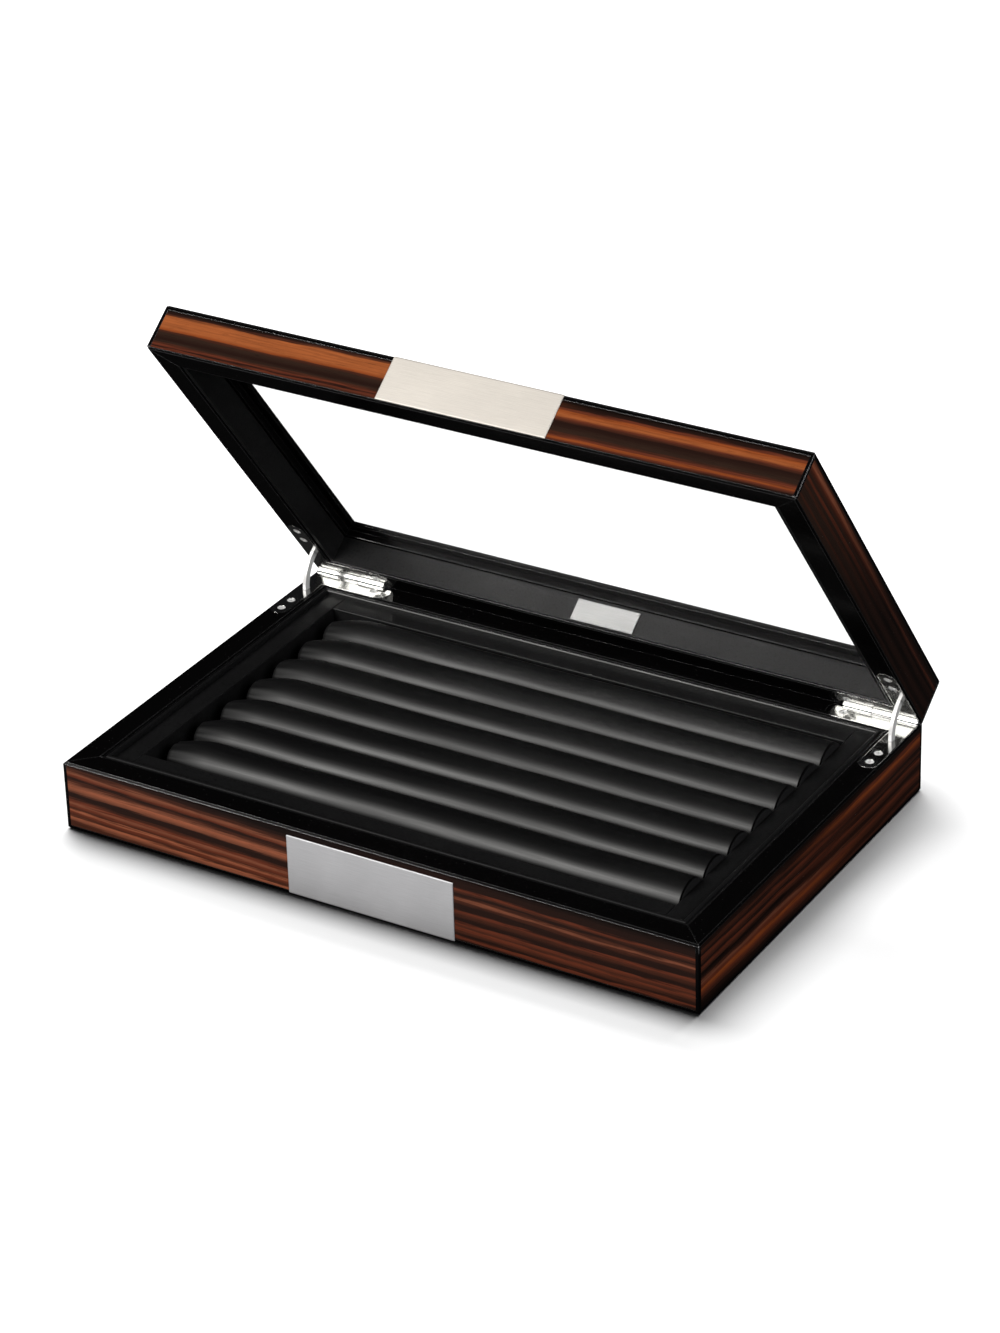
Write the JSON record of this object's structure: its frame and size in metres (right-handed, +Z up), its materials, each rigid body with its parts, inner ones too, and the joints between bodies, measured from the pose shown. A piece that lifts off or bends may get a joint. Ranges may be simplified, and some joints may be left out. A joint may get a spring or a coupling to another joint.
{
  "type": "cufflink display box",
  "caption": "Shallow veneered wooden box with a hinged glass-windowed lid and padded rolls that hold cufflinks in the grooves between them.",
  "frame": {"origin": "middle of the flat underside, on the surface that the box stands on", "axes": "+X along the front from left to right, +Y from the front to the hinged rear, +Z up"},
  "size_m": [0.305, 0.2161, 0.2049],
  "materials": {
    "ebony_veneer": "gloss",
    "black_lacquered_wood": "gloss",
    "plain_board": "matte",
    "underside_felt": "matte",
    "dark_leatherette": "satin",
    "roll_cloth": "matte",
    "brushed_steel": "satin",
    "polished_hinge_steel": "polished",
    "window_glass": "gloss"
  },
  "bodies": {
    "base": {"base_bottom_board": "plain_board", "base_felt": "underside_felt", "base_front_plate": "brushed_steel", "base_front_veneer": "ebony_veneer", "base_front_wall": "black_lacquered_wood", "base_hinge_screws": "polished_hinge_steel", "base_left_veneer": "ebony_veneer", "base_left_wall": "black_lacquered_wood", "base_lining_front": "dark_leatherette", "base_lining_left": "dark_leatherette", "base_lining_rear": "dark_leatherette", "base_lining_right": "dark_leatherette", "base_rear_veneer": "ebony_veneer", "base_rear_wall": "black_lacquered_wood", "base_right_veneer": "ebony_veneer", "base_right_wall": "black_lacquered_wood", "base_welt_front": "dark_leatherette", "base_welt_left": "dark_leatherette", "base_welt_rear": "dark_leatherette", "base_welt_right": "dark_leatherette", "cushion_roll_1": "roll_cloth", "cushion_roll_2": "roll_cloth", "cushion_roll_3": "roll_cloth", "cushion_roll_4": "roll_cloth", "cushion_roll_5": "roll_cloth", "cushion_roll_6": "roll_cloth", "cushion_roll_7": "roll_cloth", "hinge_left_base_leaf": "polished_hinge_steel", "hinge_left_pin": "polished_hinge_steel", "hinge_right_base_leaf": "polished_hinge_steel", "hinge_right_pin": "polished_hinge_steel", "tray_board": "plain_board"},
    "lid": {"glass_bead_front": "black_lacquered_wood", "glass_bead_left": "black_lacquered_wood", "glass_bead_rear": "black_lacquered_wood", "glass_bead_right": "black_lacquered_wood", "hinge_left_lid_leaf": "polished_hinge_steel", "hinge_right_lid_leaf": "polished_hinge_steel", "lid_front_plate": "brushed_steel", "lid_front_rail": "black_lacquered_wood", "lid_front_top_veneer": "ebony_veneer", "lid_front_veneer": "ebony_veneer", "lid_glass": "window_glass", "lid_hinge_screws": "polished_hinge_steel", "lid_label_plate": "brushed_steel", "lid_left_rail": "black_lacquered_wood", "lid_left_top_veneer": "ebony_veneer", "lid_left_veneer": "ebony_veneer", "lid_lining_front": "dark_leatherette", "lid_lining_left": "dark_leatherette", "lid_lining_rear": "dark_leatherette", "lid_lining_right": "dark_leatherette", "lid_rear_rail": "black_lacquered_wood", "lid_rear_top_veneer": "ebony_veneer", "lid_rear_veneer": "ebony_veneer", "lid_right_rail": "black_lacquered_wood", "lid_right_top_veneer": "ebony_veneer", "lid_right_veneer": "ebony_veneer"},
    "quadrant_arm_left": {"quadrant_arm_left": "polished_hinge_steel"},
    "quadrant_arm_right": {"quadrant_arm_right": "polished_hinge_steel"}
  },
  "joints": [
    {"name": "lid_hinge", "type": "hinge", "parent": "base", "child": "lid", "pos_m": [0, 0.0995, 0.03255], "axis": [-1, 0, 0], "range_deg": [-53.2, 41.8]},
    {"name": "quadrant_arm_left_swing", "type": "hinge", "parent": "base", "child": "quadrant_arm_left", "pos_m": [0, 0.0995, 0.03255], "axis": [-1, 0, 0], "range_deg": [-26.6, 20.9]},
    {"name": "quadrant_arm_right_swing", "type": "hinge", "parent": "base", "child": "quadrant_arm_right", "pos_m": [0, 0.0995, 0.03255], "axis": [-1, 0, 0], "range_deg": [-26.6, 20.9]}
  ],
  "couplings": [
    {"joint": "quadrant_arm_left_swing", "follows": "lid_hinge", "ratio": 0.5},
    {"joint": "quadrant_arm_right_swing", "follows": "lid_hinge", "ratio": 0.5}
  ]
}
